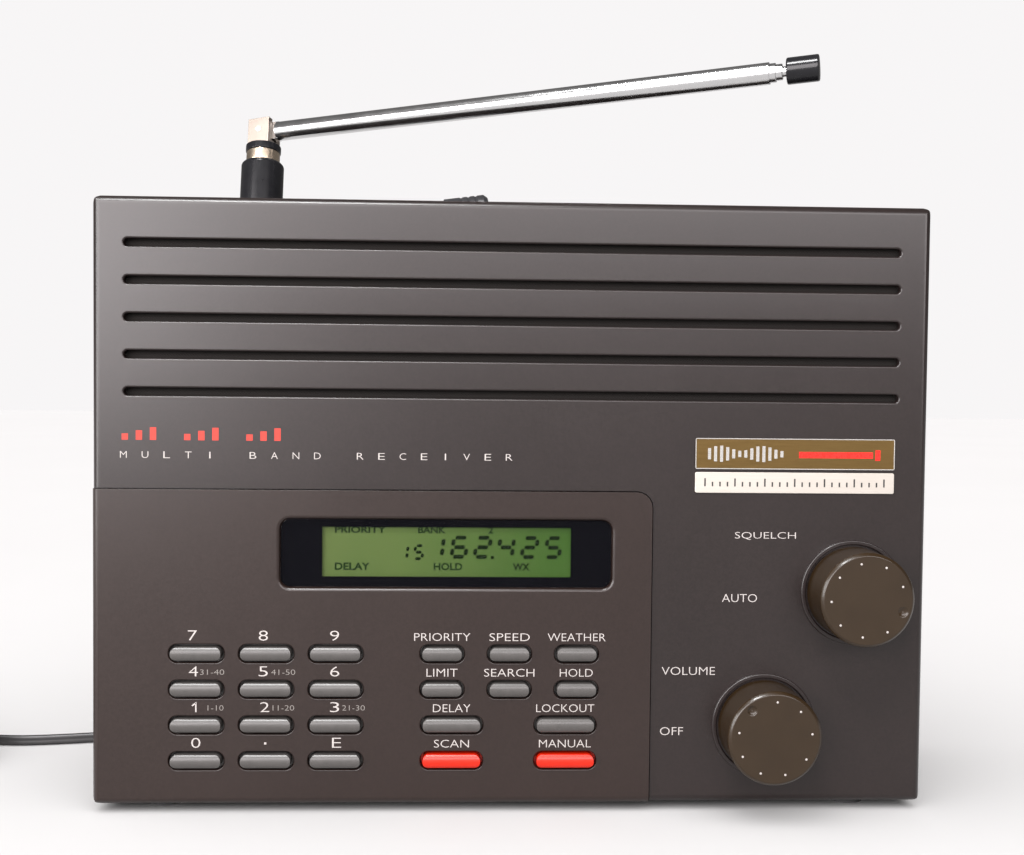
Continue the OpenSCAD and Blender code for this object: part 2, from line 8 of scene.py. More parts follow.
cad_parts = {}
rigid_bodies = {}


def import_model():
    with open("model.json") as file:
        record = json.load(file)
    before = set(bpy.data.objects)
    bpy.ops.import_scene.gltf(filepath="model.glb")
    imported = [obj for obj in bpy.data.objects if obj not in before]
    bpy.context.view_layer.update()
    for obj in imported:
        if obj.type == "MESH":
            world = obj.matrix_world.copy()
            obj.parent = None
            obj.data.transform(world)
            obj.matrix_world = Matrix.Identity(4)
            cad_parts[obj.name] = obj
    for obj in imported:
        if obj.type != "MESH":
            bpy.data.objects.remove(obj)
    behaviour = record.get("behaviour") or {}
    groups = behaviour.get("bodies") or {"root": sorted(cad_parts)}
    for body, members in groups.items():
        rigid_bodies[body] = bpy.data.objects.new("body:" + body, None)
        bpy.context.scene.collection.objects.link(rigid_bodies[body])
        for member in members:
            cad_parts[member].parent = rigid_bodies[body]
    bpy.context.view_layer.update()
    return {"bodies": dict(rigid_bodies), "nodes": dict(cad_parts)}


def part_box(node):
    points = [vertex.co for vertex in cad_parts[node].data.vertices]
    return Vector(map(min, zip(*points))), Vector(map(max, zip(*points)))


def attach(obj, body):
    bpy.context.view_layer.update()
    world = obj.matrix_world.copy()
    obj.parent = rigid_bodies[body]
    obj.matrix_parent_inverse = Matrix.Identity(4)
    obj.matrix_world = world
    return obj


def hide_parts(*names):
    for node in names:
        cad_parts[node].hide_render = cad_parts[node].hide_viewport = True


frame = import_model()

# Studio: a camera in front of the set, a wide softbox beyond it on the left and a weaker
# one on the right, a compact one high in front and one at the left side. A soft light of
# its own keeps the plain pale floor as bright as the room.
camera = bpy.data.objects.new("camera", bpy.data.cameras.new("camera"))
camera.data.lens = 40.43
camera.location = (-0.0143, -0.3936, 0.1355)
camera.rotation_euler = [math.radians(angle) for angle in (88.14, -0.57, -2.05)]
bpy.context.scene.collection.objects.link(camera)
bpy.context.scene.camera = camera


def softbox(name, place, aim, width, height, power, tint=(1, 1, 1)):
    """A rectangular studio light at a place, turned to face the aim."""
    lamp = bpy.data.lights.new(name, "AREA")
    lamp.shape = "RECTANGLE"
    lamp.size = width
    lamp.size_y = height
    lamp.energy = power
    lamp.color = tint
    holder = bpy.data.objects.new(name, lamp)
    holder.location = place
    holder.rotation_euler = (Vector(aim) - Vector(place)).to_track_quat("-Z", "Y").to_euler()
    bpy.context.scene.collection.objects.link(holder)
    return holder


bpy.context.scene.view_settings.view_transform = "Standard"
rosy = (1, 0.955, 0.965)
lamps = [softbox("softbox_left", (-0.75, -1.15, 0.5), (-0.05, 0, 0.13), 0.85, 0.8, 33, rosy),
    softbox("softbox_right", (0.3, -1.15, 0.6), (0.05, 0, 0.13), 1.3, 0.5, 20, rosy),
    softbox("softbox_high", (-0.3, -0.75, 1.35), (0, 0, 0.15), 0.5, 0.25, 34),
    softbox("softbox_side", (-0.95, -0.5, 0.25), (-0.1, 0, 0.1), 0.3, 0.6, 9)]
wash = softbox("floor_wash", (-0.25, -0.8, 1.4), (0, 0, 0), 1, 1, 1)
wash.data.type = "SUN"
wash.data.energy = 4.1
wash.data.angle = math.radians(100)

world = bpy.data.worlds.new("pale_room")
world.use_nodes = True
room = world.node_tree
backdrop = room.nodes["Background"]
backdrop.inputs["Color"].default_value = (0.935, 0.92, 0.923, 1)
dim_room = room.nodes.new("ShaderNodeBackground")
dim_room.inputs["Color"].default_value = (1.0, 0.97, 0.96, 1)
dim_room.inputs["Strength"].default_value = 0.2
seen = room.nodes.new("ShaderNodeLightPath")
either = room.nodes.new("ShaderNodeMixShader")
room.links.new(seen.outputs["Is Camera Ray"], either.inputs[0])
room.links.new(dim_room.outputs[0], either.inputs[1])
room.links.new(backdrop.outputs[0], either.inputs[2])
room.links.new(either.outputs[0], room.nodes["World Output"].inputs["Surface"])
bpy.context.scene.world = world


class Wire:
    """A value on its way through a material. Arithmetic on it adds Math nodes."""

    def __init__(self, socket):
        self.socket = socket
        self.tree = socket.id_data

    def node(self, kind, settings, values, output=0):
        """Adds a node, with its settings set first and then the values or wires of its sockets."""
        made = self.tree.nodes.new("ShaderNode" + kind)
        for name, value in settings.items():
            setattr(made, name, value)
        for name, value in values.items():
            if isinstance(value, Wire):
                self.tree.links.new(value.socket, made.inputs[name])
            else:
                made.inputs[name].default_value = value
        return Wire(made.outputs[output])

    def maths(self, operation, first, second=0):
        return self.node("Math", {"operation": operation}, {0: first, 1: second})

    def __add__(self, other):
        return self.maths("ADD", self, other)

    def __radd__(self, other):
        return self.maths("ADD", other, self)

    def __sub__(self, other):
        return self.maths("SUBTRACT", self, other)

    def __mul__(self, other):
        return self.maths("MULTIPLY", self, other)

    def __gt__(self, other):
        return self.maths("GREATER_THAN", self, other)

    def noise(self, size, detail=2):
        """Cloudy variation from 0 to 1, with patches of about this size in metres."""
        return self.node("TexNoise", {}, {"Vector": self, "Scale": 1 / size, "Detail": detail})

    def tint(self, mask, dark, light):
        """One colour where the mask is 0, the other where it is 1."""
        return self.node("Mix", {"data_type": "RGBA"}, {0: mask, 6: (*dark, 1), 7: (*light, 1)},
            output=2)

    def bump(self, height, depth):
        """A surface that rises by this depth in metres where the height is 1."""
        return self.node("Bump", {}, {"Height": height, "Distance": depth, "Strength": 1.0})

    def axes(self):
        parts = self.node("SeparateXYZ", {}, {"Vector": self})
        return [Wire(parts.socket.node.outputs[axis]) for axis in "XYZ"]

    def feed(self, shader, name):
        self.tree.links.new(self.socket, shader.inputs[name])


def new_finish(name, **constants):
    """A material: its shader with these constant sockets set, and its Object coordinates."""
    material = bpy.data.materials.new(name)
    material.use_nodes = True
    nodes = material.node_tree.nodes
    shader = nodes["Principled BSDF"]
    for socket, value in constants.items():
        shader.inputs[socket.replace("_", " ")].default_value = value
    return material, shader, Wire(nodes.new("ShaderNodeTexCoord").outputs["Object"])


def floor_finish():
    material, shader, place = new_finish("pale_floor", Specular_IOR_Level=0.1)
    place.tint(place.noise(0.4), (0.79, 0.775, 0.775), (0.82, 0.805, 0.805)).feed(shader, "Base Color")
    (0.5 + place.noise(0.05) * 0.1).feed(shader, "Roughness")
    return material


def shown(name, mesh, material, sharp=40):
    """Makes an object of a finished bmesh. Wide faces stay flat beside their rounded edges."""
    data = bpy.data.meshes.new(name)
    mesh.to_mesh(data)
    mesh.free()
    data.shade_smooth()
    data.set_sharp_from_angle(angle=math.radians(sharp))
    data.materials.append(material)
    piece = bpy.data.objects.new(name, data)
    bpy.context.scene.collection.objects.link(piece)
    flat = piece.modifiers.new("flat_faces", "WEIGHTED_NORMAL")
    flat.keep_sharp = True
    return piece


def light_floor(lamp, state):
    """Lets a lamp light only the floor (INCLUDE) or all but the floor (EXCLUDE)."""
    group = bpy.data.collections.new(lamp.name + "_reach")
    group.objects.link(floor)
    group.collection_objects[0].light_linking.link_state = state
    lamp.light_linking.receiver_collection = group


floor_mesh = bmesh.new()
bmesh.ops.create_grid(floor_mesh, x_segments=1, y_segments=1, size=6)
floor = shown("floor", floor_mesh, floor_finish())
light_floor(wash, "INCLUDE")
for lamp in lamps:
    light_floor(lamp, "EXCLUDE")

# Power lead: about 1.8 m of black twin-core lead from the plug on top of the case, down
# behind it and out along the table to the left, where the rest is wound into a neat coil
# of 11 turns, held by a tie. The two cores stand one above the other on the table.
mm = 0.001
lead_width = 3.8 * mm
core = 1.95 * mm
route = [Vector(point) * mm for point in (
    (-43.7, 19.3, 195.1), (-51, 19.5, 194), (-58.5, 21.5, 192.7), (-65, 26.5, 191),
    (-69.5, 33.5, 189), (-72.5, 41.5, 185.5), (-74, 48, 178.5), (-74.5, 51, 168.5),
    (-74.5, 51, 156), (-74.5, 50.5, 138), (-74, 49.5, 115), (-74, 49, 90), (-74, 49, 65),
    (-74.5, 49, 42), (-77, 49, 26), (-82, 49.5, 14), (-89.5, 50, 6.5), (-99, 50.5, 2.8),
    (-111, 50.5, 2), (-125, 49.5, 2), (-139, 47.5, 2), (-154, 45.5, 2), (-168, 43, 2),
    (-182, 41.5, 2), (-196, 42.5, 2.1), (-209, 43, 2.3))]
coil_middle = Vector((-215, 20, 2.35)) * mm
coil_radius = 21 * mm
coil_pitch = 2.1 * mm
coil_step = 3.9 * mm
coil_columns = 3
coil_turns = 11
coil_exit = [Vector((across, 41, 14)) * mm for across in (-220, -230, -240, -249)]


def smoothstep(share):
    share = min(max(share, 0), 1)
    return share * share * (3 - 2 * share)


def rounded_line(points, per_span):
    """The points joined by one smooth curve through them all."""
    line = []
    last = len(points) - 1
    for span in range(last):
        before, start = points[max(span - 1, 0)], points[span]
        end, after = points[span + 1], points[min(span + 2, last)]
        for step in range(per_span):
            t = step / per_span
            line.append(0.5 * (2 * start + (end - before) * t
                + (2 * before - 5 * start + 4 * end - after) * t ** 2
                + (3 * start - before - 3 * end + after) * t ** 3))
    return line + [points[last]]


def coil_seat(turn):
    """Radius and height of one turn: the layers fill inwards and outwards by turns."""
    layer, place = divmod(turn, coil_columns)
    column = place if layer % 2 == 0 else coil_columns - 1 - place
    return Vector((coil_radius + (1 - column) * coil_pitch, layer * coil_step))


def coil_line(per_turn=36, crossing=30):
    """The turns of the coil. Each moves over to the next seat within a short crossing."""
    line = []
    for step in range(coil_turns * per_turn + 1):
        turn = min(step // per_turn, coil_turns - 1)
        phase = 360 * (step - turn * per_turn) / per_turn
        layer, place = divmod(turn, coil_columns)
        climbs = place == coil_columns - 1
        start = (360 - 2 * crossing if climbs else 360 - crossing) - 2 * crossing * layer
        share = smoothstep((phase - start) / crossing) if turn < coil_turns - 1 else 0
        radius, height = coil_seat(turn).lerp(coil_seat(turn + 1), share)
        angle = math.radians(90 + phase)
        line.append(coil_middle + Vector((radius * math.cos(angle), radius * math.sin(angle), height)))
    return line


def sweep(line, section, upright):
    """A closed tube of one cross-section along a line, its height along upright(point)."""
    tube = bmesh.new()
    loop = []
    for station, point in enumerate(line):
        ahead = (line[min(station + 1, len(line) - 1)] - line[max(station - 1, 0)]).normalized()
        up = upright(point)
        up = (up - ahead * up.dot(ahead)).normalized()
        side = ahead.cross(up)
        ring = [tube.verts.new(point + side * across + up * height) for across, height in section]
        before = loop
        loop = [tube.edges.new((vert, ring[k - 1])) for k, vert in enumerate(ring)]
        if before:
            bmesh.ops.bridge_loops(tube, edges=before + loop)
    bmesh.ops.holes_fill(tube, edges=[edge for edge in tube.edges if edge.is_boundary])
    bmesh.ops.recalc_face_normals(tube, faces=tube.faces)
    return tube


def twin_core_section(width, thickness, steps=6):
    """Two round cores, one above the other, that meet in a narrow waist."""
    section = []
    for side in (1, -1):
        for step in range(steps + 1):
            angle = math.radians(-40 + 260 * step / steps)
            section.append((side * thickness / 2 * math.cos(angle),
                side * ((width - thickness) / 2 + thickness / 2 * math.sin(angle))))
    return section


def core_side(point):
    """The cores lie side by side down the back, and one above the other by the coil."""
    share = smoothstep((-point.x - 0.085) / 0.04)
    return Vector((0, 1 - share, share))


def lead_finish():
    material, shader, place = new_finish("lead_vinyl", Specular_IOR_Level=0.45)
    grime = place.noise(6 * mm, 3)
    place.tint(grime, (0.012, 0.012, 0.013), (0.022, 0.021, 0.021)).feed(shader, "Base Color")
    (0.34 + grime * 0.16).feed(shader, "Roughness")
    place.bump(place.noise(0.5 * mm), 0.01 * mm).feed(shader, "Normal")
    return material


def fit(piece, body, slot, *nodes):
    """Fixes a piece to its body and hides the CAD parts that it stands for; its finish slot is not used.
    """
    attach(piece, body)
    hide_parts(*nodes)
    return piece


lead_line = rounded_line(route, 4) + coil_line() + coil_exit
lead_length = sum((b - a).length for a, b in zip(lead_line, lead_line[1:]))
vinyl = lead_finish()
lead_mesh = sweep(lead_line, twin_core_section(lead_width, core), core_side)
lead = fit(shown("power_lead_twin", lead_mesh, vinyl, 75), "case", "lead_pvc", "power_lead", "lead_coil")

# Tie of the coil: a flat black strap, wound once round all the turns, with its end
# tucked under a small square buckle on top.
tie_width = 5 * mm
tie_thickness = 0.35 * mm


def soften(mesh, radius, segments=3, angle=30):
    """Rounds off every edge that turns by more than this angle."""
    edges = [edge for edge in mesh.edges if len(edge.link_faces) == 2
        and edge.calc_face_angle() > math.radians(angle)]
    bmesh.ops.bevel(mesh, geom=edges, offset=radius, offset_type="OFFSET", affect="EDGES",
        segments=segments, profile=0.5, material=-1, clamp_overlap=True)
    return mesh


def block(low, high, radius=0.0, segments=3):
    """A box between two corners with rounded edges."""
    low, high = Vector(low), Vector(high)
    mesh = bmesh.new()
    bmesh.ops.create_cube(mesh, size=1, matrix=Matrix.Translation((low + high) / 2)
        @ Matrix.Diagonal((*(high - low), 1)))
    return soften(mesh, radius, segments) if radius else mesh


def joined(*meshes):
    """Several meshes as one."""
    whole = bmesh.new()
    for mesh in meshes:
        part = bpy.data.meshes.new("part")
        mesh.to_mesh(part)
        mesh.free()
        whole.from_mesh(part)
        bpy.data.meshes.remove(part)
    return whole


def coil_tie():
    inner = coil_middle + Vector((0, -coil_radius, 0))
    low = inner + Vector((0, -1.5 * coil_pitch, -core))
    high = inner + Vector((0, 1.5 * coil_pitch, -core + 4 * coil_step))
    gap = tie_thickness
    strap = block(low - Vector((tie_width / 2, gap, gap)), high + Vector((tie_width / 2, gap, gap)))
    ends = [face for face in strap.faces if abs(face.normal.x) > 0.9]
    bmesh.ops.delete(strap, geom=ends, context="FACES")
    long_edges = [edge for edge in strap.edges if not edge.is_boundary]
    bmesh.ops.bevel(strap, geom=long_edges, offset=1.2 * mm, affect="EDGES", segments=4,
        profile=0.5, material=-1)
    bmesh.ops.solidify(strap, geom=strap.faces, thickness=tie_thickness)
    bmesh.ops.recalc_face_normals(strap, faces=strap.faces)
    buckle = block((inner.x - 3.6 * mm, inner.y - 2.6 * mm, high.z),
        (inner.x + 3.6 * mm, inner.y + 2.6 * mm, high.z + 1.5 * mm), 0.4 * mm)
    return joined(strap, buckle)


tie = fit(shown("coil_tie", coil_tie(), vinyl), "case", "lead_pvc")

# Wall adapter at the end of the lead: a black moulded block in two glued halves, with
# two steel blades and a ribbed strain relief round the lead.
adapter_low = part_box("wall_adapter")[0]
adapter_body = Vector((55, 44, 32)) * mm
relief_length = 24 * mm
blade = Vector((6.3, 1.5, 17)) * mm
blade_spread = 12.7 * mm


def lathe(outline, steps=64):
    """A half outline of (radius, height) points in millimetres, spun round the Z axis."""
    mesh = bmesh.new()
    verts = [mesh.verts.new((radius * mm, 0, height * mm)) for radius, height in outline]
    edges = [mesh.edges.new(pair) for pair in zip(verts, verts[1:])]
    bmesh.ops.spin(mesh, geom=verts + edges, cent=(0, 0, 0), axis=(0, 0, 1), angle=math.tau,
        steps=steps, use_merge=True)
    bmesh.ops.remove_doubles(mesh, verts=mesh.verts, dist=0.001 * mm)
    bmesh.ops.recalc_face_normals(mesh, faces=mesh.faces)
    return mesh


def placed(mesh, matrix):
    mesh.transform(matrix)
    return mesh


def ribbed_relief(start, end, length, ribs):
    """Outline of a strain relief that narrows in steps, so that it can bend."""
    outline = [(0, 0), (start, 0)]
    for rib in range(ribs):
        for share, waist in ((0.1, 1), (0.55, 1), (0.65, 0.86), (0.95, 0.86)):
            along = (rib + share) / ribs
            outline.append(((start + (end - start) * along) * waist, length * along))
    return outline + [(end, length), (0, length)]


def black_plastic_finish():
    material, shader, place = new_finish("black_plastic", Specular_IOR_Level=0.5)
    cloud = place.noise(5 * mm, 3)
    place.tint(cloud, (0.013, 0.013, 0.014), (0.021, 0.021, 0.023)).feed(shader, "Base Color")
    (0.22 + cloud * 0.12).feed(shader, "Roughness")
    place.bump(place.noise(0.4 * mm), 0.006 * mm).feed(shader, "Normal")
    return material


def steel_finish():
    material, shader, place = new_finish("plated_steel", Metallic=1.0)
    brushed = place.node("Mapping", {}, {"Vector": place, "Scale": (1, 1, 14)}).noise(0.8 * mm, 4)
    place.tint(brushed, (0.52, 0.51, 0.5), (0.68, 0.67, 0.65)).feed(shader, "Base Color")
    (0.24 + brushed * 0.2).feed(shader, "Roughness")
    return material


black_plastic = black_plastic_finish()
steel = steel_finish()
lower_half = block(adapter_low, adapter_low + Vector((*adapter_body.xy, adapter_body.z * 0.55)),
    2.2 * mm, 4)
upper_half = block(adapter_low + Vector((0.3, 0.3, adapter_body.z / mm * 0.55 - 0.2)) * mm,
    adapter_low + adapter_body - Vector((0.3, 0.3, 0)) * mm, 2.2 * mm, 4)
adapter_relief = placed(lathe(ribbed_relief(4, 2.3, relief_length / mm, 6), 48),
    Matrix.Translation(coil_exit[-1] + Vector((-1, 0, 0)) * mm)
    @ Matrix.Rotation(math.radians(90), 4, "Y"))
adapter = fit(shown("adapter_block", joined(lower_half, upper_half, soften(adapter_relief, 0.2 * mm, 2)),
    black_plastic), "case", "black_plastic", "wall_adapter")
blades = []
for side in (-1, 1):
    foot = Vector((adapter_low.x + adapter_body.x / 2, coil_exit[-1].y + side * blade_spread / 2,
        adapter_low.z + adapter_body.z - 1 * mm))
    blades.append(block(foot - Vector((blade.x / 2, blade.y / 2, 0)),
        foot + Vector((blade.x / 2, blade.y / 2, blade.z + 1 * mm)), 0.35 * mm))
adapter_blades = fit(shown("adapter_blades", joined(*blades), steel), "case", "steel")

# Power plug: a right-angle moulded plug in the socket on the sloping top. Its neck
# stands on the case, its round body lies towards the left with three grip ridges, and
# a ribbed strain relief leads into the cord.
half_width = 133.5 * mm
case_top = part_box("front_cover")[1].z
face_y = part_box("badge_plate")[1].y
top_slope = math.radians(12)
edge_round = 2.7 * mm


def on_top(across, back):
    """Frame on the sloping top, so far from the left side and behind the face; +Z leaves the top."""
    return Matrix.Translation((across * mm - half_width, face_y + back * mm,
        case_top - (back * mm - edge_round) * math.tan(top_slope))) @ Matrix.Rotation(-top_slope, 4, "X")


plug_place = on_top(119.5, 45)
plug_body_place = plug_place @ Matrix.Translation((0, 0, 13 * mm)) \
    @ Matrix.Rotation(math.radians(-98), 4, "Y")
plug_neck = soften(lathe([(0, -9), (2.75, -9), (2.75, 0.5), (4.6, 0.5), (4.6, 13), (0, 13)], 48),
    0.3 * mm, 2)
plug_body = soften(lathe([(0, -5.6), (4.2, -5.6), (5.4, -4.2), (5.4, -2), (5.1, -1.7), (5.1, -1.2),
    (5.4, -0.9), (5.4, 0.6), (5.1, 0.9), (5.1, 1.4), (5.4, 1.7), (5.4, 3.2), (5.1, 3.5), (5.1, 4),
    (5.4, 4.3), (5.4, 10), (0, 10)], 56), 0.25 * mm, 2)
plug_relief = soften(placed(lathe(ribbed_relief(4.8, 2.4, 20, 6), 48),
    Matrix.Translation((0, 0, 10 * mm))), 0.2 * mm, 2)
plug = fit(shown("power_plug", joined(placed(plug_neck, plug_place), placed(plug_body, plug_body_place),
    placed(plug_relief, plug_body_place)), black_plastic), "case", "black_plastic", "dc_plug")

# Case: front and back covers of dark brown-grey moulded plastic with a fine satin
# grain. The covers meet on a lip, and their outer edges are rounded in the mould.
case_brown = ((0.004, 0.0025, 0.0022), (0.013, 0.0085, 0.008))
grille_depth = 68 * mm
grille_lip = 0.6 * mm
collar_lip = 0.5 * mm


def round_lip(mesh, plane, radius, chosen):
    """Rounds the sharp edges on an upright plane, where a test of their points allows it."""
    edges = [edge for edge in mesh.edges if len(edge.link_faces) == 2
        and edge.calc_face_angle() > math.radians(60)
        and all(abs(vert.co.y - plane) < 0.02 * mm and chosen(vert.co) for vert in edge.verts)]
    bmesh.ops.bevel(mesh, geom=edges, offset=radius, offset_type="OFFSET", affect="EDGES", segments=4,
        profile=0.5, material=-1, clamp_overlap=False)


def moulding(node, radius, segments=2, angle=30, lips=()):
    """A copy of a moulded part with wide rounded lips and its other sharp edges eased."""
    mesh = bmesh.new()
    mesh.from_mesh(frame["nodes"][node].data)
    bmesh.ops.remove_doubles(mesh, verts=mesh.verts, dist=0.001 * mm)
    bmesh.ops.dissolve_limit(mesh, angle_limit=math.radians(0.2), verts=mesh.verts, edges=mesh.edges)
    for lip in lips:
        round_lip(mesh, *lip)
    soften(mesh, radius, segments, angle)
    return mesh


def grained_finish(name, shades):
    """Moulded plastic: cloudy colour, a fine spark-eroded grain and a few rubbed patches."""
    material, shader, place = new_finish(name, Specular_IOR_Level=0.22, Coat_Weight=0.3,
        Coat_Roughness=0.3)
    cloud = place.noise(45 * mm, 3)
    speck = place.noise(0.8 * mm, 3)
    place.tint(cloud * 0.3 + speck * 0.7, *shades).feed(shader, "Base Color")
    (0.24 + cloud * 0.06 + speck * 0.1).feed(shader, "Roughness")
    place.bump(place.noise(0.32 * mm, 3), 0.014 * mm).feed(shader, "Normal")
    return material


def grille_zone(point):
    """The part of the face that holds the slots, inside the rounded edges of the case."""
    return point.z > case_top - grille_depth and abs(point.x) < half_width - 8 * mm


def whole_plane(point):
    """Only the two collars reach so far forward."""
    return True


case_plastic = grained_finish("case_plastic", case_brown)
collar_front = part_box("front_cover")[0].y
front_shell = moulding("front_cover", 0.35 * mm, angle=35,
    lips=[(face_y, grille_lip, grille_zone), (collar_front, collar_lip, whole_plane)])
fit(shown("front_shell", front_shell, case_plastic), "case", "case_plastic", "front_cover")
back_shell = moulding("rear_cover", 0.35 * mm)
fit(shown("back_shell", back_shell, case_plastic), "case", "case_plastic", "rear_cover")


def dress(material, *nodes):
    """Gives CAD parts that keep their shape this finish."""
    for node in nodes:
        for place in frame["nodes"][node].material_slots:
            place.material = material


# Keypad panel: a separate moulding of a slightly browner plastic, set in the lower left
# of the face and standing 1 mm proud of it, with the key openings and the window recess.
panel_plastic = grained_finish("panel_plastic", ((0.006, 0.003, 0.0022), (0.015, 0.0085, 0.007)))
panel_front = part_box("keypad_panel")[0].y
lens_low, lens_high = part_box("display_window")
window_lip = 1.2 * mm
key_lip = 0.4 * mm


def window_zone(point):
    """The edge of the window recess."""
    return lens_low.z - mm < point.z < lens_high.z + mm \
        and lens_low.x - mm < point.x < lens_high.x + mm


def key_zone(point):
    """The key openings, below the window and clear of the panel's own edges."""
    return 6 * mm < point.z < lens_low.z - 5 * mm \
        and abs(point.x) < half_width - 6 * mm and point.x < lens_high.x + 2 * mm


keypad_front = moulding("keypad_panel", 0.3 * mm, angle=35,
    lips=[(panel_front, window_lip, window_zone), (panel_front, key_lip, key_zone)])
fit(shown("keypad_front", keypad_front, panel_plastic), "case", "panel_plastic", "keypad_panel")

# Grille cloth: thin dark woven cloth, stretched behind the five slots of the grille
# and glued to the back of the face round its rim.
cloth_low, cloth_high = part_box("grille_cloth")
cloth_thread = 0.9 * mm
cloth_slack = 0.25 * mm


def cloth_finish():
    material, shader, place = new_finish("grille_cloth_weave", Specular_IOR_Level=0.2, Roughness=0.9)
    across, _, up = place.axes()
    rate = math.tau / cloth_thread
    height = 0.5 + place.maths("SINE", across * rate) * place.maths("SINE", up * rate) * 0.5
    place.tint(height, (0.002, 0.0017, 0.0015), (0.010, 0.008, 0.007)).feed(shader, "Base Color")
    place.bump(height, 0.12 * mm).feed(shader, "Normal")
    return material


cloth_mesh = bmesh.new()
bmesh.ops.create_grid(cloth_mesh, x_segments=84, y_segments=18, size=0.5)
size = cloth_high - cloth_low
cloth_middle = (cloth_low + cloth_high) / 2
cloth_mesh.transform(Matrix.Translation(cloth_middle) @ Matrix.Diagonal((size.x, 1, size.z, 1))
    @ Matrix.Rotation(math.radians(90), 4, "X"))
for vert in cloth_mesh.verts:
    slack = math.cos(math.pi * vert.co.x / size.x) \
        * math.cos(math.pi * (vert.co.z - cloth_middle.z) / size.z)
    vert.co.y += cloth_slack * slack
cloth = shown("grille_cloth_sheet", cloth_mesh, cloth_finish())
thickness = cloth.modifiers.new("thread_thickness", "SOLIDIFY")
thickness.thickness = 0.4 * mm
fit(cloth, "case", "cloth", "grille_cloth")

# Display: a clear lens set in the panel, its border printed black on the back, with
# the green liquid crystal field behind it. Its dark segments spell a frequency, a
# channel number and the names of the settings that are on.
field_left, field_right = 72.3, 151.7
field_top, field_bottom = 104.0, 119.9


def face_point(across, down, out):
    """A point so far from the left side and from the top, at this depth (Y)."""
    return Vector((across * mm - half_width, out, case_top - down * mm))


def rounded_plate(low, high, radius, y, thickness, hole=None):
    """An upright plate with round corners, its front at y, and perhaps a square hole in it."""
    mesh = bmesh.new()
    corners = [mesh.verts.new((x, y, z)) for x, z in
        ((low.x, low.z), (high.x, low.z), (high.x, high.z), (low.x, high.z))]
    mesh.faces.new(corners)
    bmesh.ops.bevel(mesh, geom=corners, offset=radius, affect="VERTICES", segments=8, profile=0.5,
        material=-1)
    if hole:
        bmesh.ops.delete(mesh, geom=mesh.faces[:], context="FACES_ONLY")
        near, far = hole
        inner = [mesh.verts.new((x, y, z)) for x, z in
            ((near.x, near.z), (far.x, near.z), (far.x, far.z), (near.x, far.z))]
        for k, vert in enumerate(inner):
            mesh.edges.new((vert, inner[k - 1]))
        bmesh.ops.triangle_fill(mesh, use_beauty=True, use_dissolve=False, edges=mesh.edges)
    made = bmesh.ops.extrude_face_region(mesh, geom=mesh.faces[:])["geom"]
    bmesh.ops.translate(mesh, verts=[item for item in made if isinstance(item, bmesh.types.BMVert)],
        vec=(0, thickness, 0))
    bmesh.ops.recalc_face_normals(mesh, faces=mesh.faces)
    return mesh


def lens_finish():
    material, shader, place = new_finish("display_lens", Specular_IOR_Level=0.18,
        Base_Color=(0.004, 0.004, 0.005, 1))
    smear = place.noise(14 * mm, 3)
    (0.03 + smear * 0.05).feed(shader, "Roughness")
    (0.10 + smear * 0.06).feed(shader, "Alpha")
    return material


def border_finish():
    material, shader, place = new_finish("display_border_ink", Specular_IOR_Level=0.0)
    dust = place.noise(3 * mm, 4)
    place.tint(dust, (0.001, 0.001, 0.0015), (0.003, 0.003, 0.004)).feed(shader, "Base Color")
    (0.12 + dust * 0.1).feed(shader, "Roughness")
    return material


def crystal_finish():
    """Green field, brighter and yellower to the left and darker and greener towards its far end: painted
    light falling off from the left, over a random haze. The same colour also glows a little, a painted
    glow, not a backlight.
    """
    # The emission is a painted glow that keeps the field bright whatever light falls on it.
    material, shader, place = new_finish("liquid_crystal", Emission_Strength=0.35,
        Specular_IOR_Level=0.1)
    across, _, up = place.axes()
    # Painted shading: this mask runs from the lit left end of the field to its darker far end.
    painted_light_falloff = (across - (field_left * mm - half_width)) * (1 / ((field_right - field_left) * mm))
    haze = place.noise(18 * mm, 2)
    shade = place.tint(painted_light_falloff * 0.7 + haze * 0.3, (0.070, 0.096, 0.029), (0.018, 0.055, 0.0062))
    shade.feed(shader, "Base Color")
    shade.feed(shader, "Emission Color")
    (0.35 + haze * 0.1).feed(shader, "Roughness")
    return material


def ink_finish(name, colour, spread=0.15, roughness=0.5, shine=0.4):
    """Screen-printed ink: one colour, slightly uneven, with a soft shine or none."""
    material, shader, place = new_finish(name, Specular_IOR_Level=shine)
    cover = place.noise(1.5 * mm, 3)
    thin, thick = ([part * share for part in colour] for share in (1 - spread, 1 + spread))
    place.tint(cover, thin, thick).feed(shader, "Base Color")
    (roughness + cover * 0.15).feed(shader, "Roughness")
    return material


field_low = face_point(field_left, field_bottom, 0)
field_high = face_point(field_right, field_top, 0)
crystal_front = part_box("lcd_glass")[0].y
margin = Vector((0.05 * mm, 0, 0.05 * mm))
border_mesh = rounded_plate(lens_low + margin, lens_high - margin, 3 * mm, lens_high.y - 0.2 * mm,
    0.15 * mm, (field_low, field_high))
fit(shown("display_border", border_mesh, border_finish()), "case", "window")
field_mesh = block((field_low.x - 2 * mm, crystal_front - 0.25 * mm, field_low.z - 0.8 * mm),
    (field_high.x + 2 * mm, crystal_front, field_high.z + 0.8 * mm))
fit(shown("lcd_field", field_mesh, crystal_finish()), "case", "lcd")
lens_mesh = moulding("display_window", 0.3 * mm, 3)
fit(shown("display_lens", lens_mesh, lens_finish()), "case", "window", "display_window")

# Which of the seven segments light for each character, from the top bar clockwise and
# the middle bar last.
lit_segments = {"0": "abcdef", "1": "bc", "2": "abdeg", "4": "bcfg", "5": "acdfg", "6": "acdefg"}
slant = 0.12


